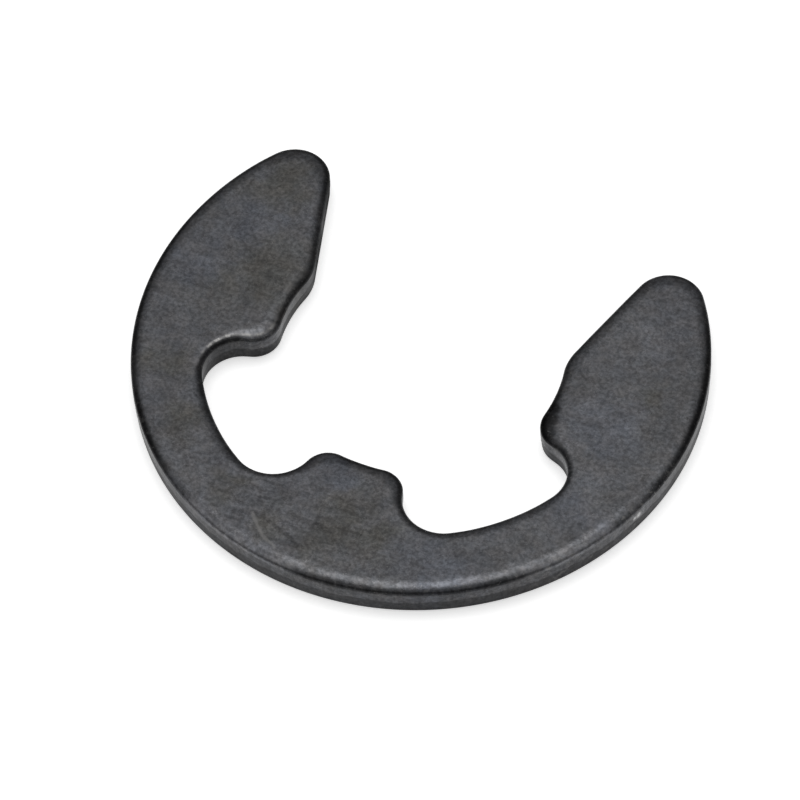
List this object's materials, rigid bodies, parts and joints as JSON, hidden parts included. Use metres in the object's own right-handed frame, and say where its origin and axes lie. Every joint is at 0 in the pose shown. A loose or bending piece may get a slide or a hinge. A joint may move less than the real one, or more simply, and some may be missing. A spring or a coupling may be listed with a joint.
{
  "type": "e clip",
  "caption": "Flat e-clip of blackened spring steel: an open ring with a tooth and jaws on its inside that snaps sideways into a shaft's groove.",
  "frame": {"origin": "centre of the seat that grips the shaft's groove, on the clip's lower face", "axes": "+Z along the shaft's axis and out of the upper face, +Y out through the mouth, +X across the two jaws"},
  "size_m": [0.016, 0.0131, 0.001],
  "materials": {
    "blackened_spring_steel": "satin black conversion coating, tumbled edges"
  },
  "bodies": {
    "root": {"e_clip": "blackened_spring_steel"}
  },
  "joints": []
}
